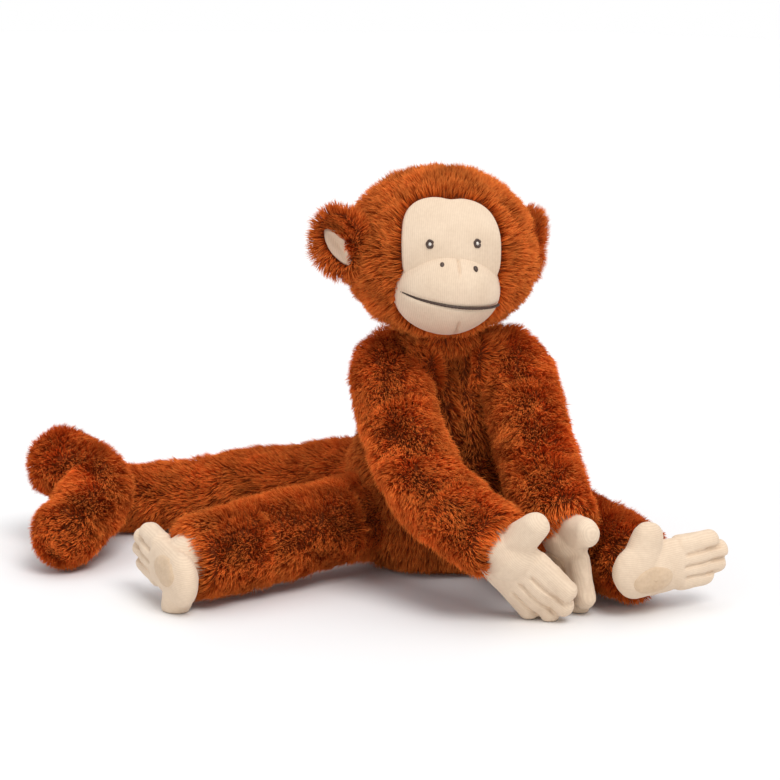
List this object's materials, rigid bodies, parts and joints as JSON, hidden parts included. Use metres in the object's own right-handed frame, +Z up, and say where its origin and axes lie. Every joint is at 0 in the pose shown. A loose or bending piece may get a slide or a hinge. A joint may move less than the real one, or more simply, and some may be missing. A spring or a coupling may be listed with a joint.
{
  "type": "stuffed monkey toy",
  "caption": "Sitting plush monkey with long stuffed arms and legs, a curled tail, round ears, a velour face, hands and feet, and touch-fastener patches.",
  "frame": {"origin": "middle of the flat seat panel, on the surface that the toy sits on", "axes": "+Z up, the monkey faces -Y, and its left side is +X"},
  "size_m": [0.4412, 0.3477, 0.2791],
  "materials": {
    "brown_fur": "short shaggy pile, matt",
    "beige_velour": "fine ribbed velour, matt with a soft sheen",
    "stuffing": "loose fibre, matt",
    "pellet_cloth": "plain woven cloth, matt",
    "dark_thread": "embroidery thread, satin"
  },
  "bodies": {
    "torso": {"torso_cover": "brown_fur", "seat_panel": "brown_fur", "torso_filling": "stuffing", "pellet_bag": "pellet_cloth"},
    "neck": {"neck_filling": "stuffing"},
    "head": {"head_cover": "brown_fur", "head_filling": "stuffing", "face_panel": "beige_velour", "muzzle_panel": "beige_velour", "muzzle_filling": "stuffing", "right_eye_stitching": "dark_thread", "left_eye_stitching": "dark_thread", "right_nostril_stitching": "dark_thread", "left_nostril_stitching": "dark_thread", "mouth_stitching": "dark_thread"},
    "right_ear": {"right_ear_cover": "brown_fur", "right_ear_lining": "beige_velour"},
    "left_ear": {"left_ear_cover": "brown_fur", "left_ear_lining": "beige_velour"},
    "right_upper_arm": {"right_upper_arm_cover": "brown_fur", "right_upper_arm_filling": "stuffing"},
    "right_forearm": {"right_forearm_cover": "brown_fur", "right_forearm_filling": "stuffing"},
    "right_hand": {"right_hand_cover": "beige_velour", "right_hand_filling": "stuffing", "right_palm_patch": "beige_velour"},
    "left_upper_arm": {"left_upper_arm_cover": "brown_fur", "left_upper_arm_filling": "stuffing"},
    "left_forearm": {"left_forearm_cover": "brown_fur", "left_forearm_filling": "stuffing"},
    "left_hand": {"left_hand_cover": "beige_velour", "left_hand_filling": "stuffing", "left_palm_patch": "beige_velour"},
    "right_thigh": {"right_thigh_cover": "brown_fur", "right_thigh_filling": "stuffing"},
    "right_shin": {"right_shin_cover": "brown_fur", "right_shin_filling": "stuffing"},
    "right_foot": {"right_foot_cover": "beige_velour", "right_foot_filling": "stuffing", "right_sole_patch": "beige_velour"},
    "left_thigh": {"left_thigh_cover": "brown_fur", "left_thigh_filling": "stuffing"},
    "left_shin": {"left_shin_cover": "brown_fur", "left_shin_filling": "stuffing"},
    "left_foot": {"left_foot_cover": "beige_velour", "left_foot_filling": "stuffing", "left_sole_patch": "beige_velour"},
    "tail_base": {"tail_base_cover": "brown_fur", "tail_base_filling": "stuffing"},
    "tail_middle": {"tail_middle_cover": "brown_fur", "tail_middle_filling": "stuffing"},
    "tail_curl": {"tail_curl_cover": "brown_fur", "tail_curl_filling": "stuffing"},
    "tail_tip": {"tail_tip_cover": "brown_fur", "tail_tip_filling": "stuffing"}
  },
  "joints": [
    {"name": "neck_nod", "type": "hinge", "parent": "torso", "child": "neck", "pos_m": [-0.004, -0.002, 0.164], "axis": [-1, 0, 0], "range_deg": [-15, 15]},
    {"name": "neck_turn", "type": "hinge", "parent": "neck", "child": "head", "pos_m": [-0.004, -0.002, 0.164], "axis": [0, 0, 1], "range_deg": [-35, 35]},
    {"name": "right_ear_fold", "type": "hinge", "parent": "head", "child": "right_ear", "pos_m": [-0.06571, -0.03071, 0.224], "axis": [0, 0, 1], "range_deg": [-12, 25]},
    {"name": "left_ear_fold", "type": "hinge", "parent": "head", "child": "left_ear", "pos_m": [0.0596, -0.02461, 0.224], "axis": [0, 0, -1], "range_deg": [0, 35]},
    {"name": "right_shoulder", "type": "hinge", "parent": "torso", "child": "right_upper_arm", "pos_m": [-0.044, -0.012, 0.136], "axis": [-0.7981, 0.3199, -0.5105], "range_deg": [0, 72]},
    {"name": "right_elbow", "type": "hinge", "parent": "right_upper_arm", "child": "right_forearm", "pos_m": [-0.038, -0.088, 0.079], "axis": [-0.9714, -0.2064, -0.1175], "range_deg": [0, 50]},
    {"name": "right_wrist", "type": "hinge", "parent": "right_forearm", "child": "right_hand", "pos_m": [-0.005, -0.158, 0.051], "axis": [0.7007, 0.0456, 0.712], "range_deg": [-20, 3]},
    {"name": "left_shoulder", "type": "hinge", "parent": "torso", "child": "left_upper_arm", "pos_m": [0.044, -0.012, 0.136], "axis": [-0.9791, -0.0933, 0.1805], "range_deg": [0, 58]},
    {"name": "left_elbow", "type": "hinge", "parent": "left_upper_arm", "child": "left_forearm", "pos_m": [0.042, -0.08, 0.09], "axis": [-0.9999, 0.0105, 0.0062], "range_deg": [0, 50]},
    {"name": "left_wrist", "type": "hinge", "parent": "left_forearm", "child": "left_hand", "pos_m": [0.042, -0.14, 0.06], "axis": [0.9741, -0.1011, 0.2022], "range_deg": [-3, 5]},
    {"name": "right_hip", "type": "hinge", "parent": "torso", "child": "right_thigh", "pos_m": [-0.052, -0.006, 0.04], "axis": [0, 0, 1], "range_deg": [-10, 30]},
    {"name": "right_knee", "type": "hinge", "parent": "right_thigh", "child": "right_shin", "pos_m": [-0.119, -0.04, 0.036], "axis": [0, 0, 1], "range_deg": [-12, 28]},
    {"name": "right_ankle", "type": "hinge", "parent": "right_shin", "child": "right_foot", "pos_m": [-0.186, -0.074, 0.032], "axis": [-0.024, 0.1633, -0.9863], "range_deg": [-12, 16]},
    {"name": "left_hip", "type": "hinge", "parent": "torso", "child": "left_thigh", "pos_m": [0.052, -0.006, 0.04], "axis": [0, 0, 1], "range_deg": [0, 38]},
    {"name": "left_knee", "type": "hinge", "parent": "left_thigh", "child": "left_shin", "pos_m": [0.073, -0.077, 0.035], "axis": [0, 0, 1], "range_deg": [0, 35]},
    {"name": "left_ankle", "type": "hinge", "parent": "left_shin", "child": "left_foot", "pos_m": [0.094, -0.148, 0.03], "axis": [-0.0311, -0.0794, 0.9964], "range_deg": [-16, 16]},
    {"name": "tail_base_bend", "type": "hinge", "parent": "torso", "child": "tail_base", "pos_m": [-0.018, 0.046, 0.058], "axis": [0, 0, 1], "range_deg": [-28, 3]},
    {"name": "tail_middle_bend", "type": "hinge", "parent": "tail_base", "child": "tail_middle", "pos_m": [-0.1, 0.108, 0.04], "axis": [0, 0, 1], "range_deg": [-20, 12]},
    {"name": "tail_curl_bend", "type": "hinge", "parent": "tail_middle", "child": "tail_curl", "pos_m": [-0.206, 0.134, 0.026], "axis": [0, 0, 1], "range_deg": [-23, 23]},
    {"name": "tail_tip_bend", "type": "hinge", "parent": "tail_curl", "child": "tail_tip", "pos_m": [-0.227, 0.08, 0.044], "axis": [0, 0, 1], "range_deg": [-20, 20]}
  ]
}
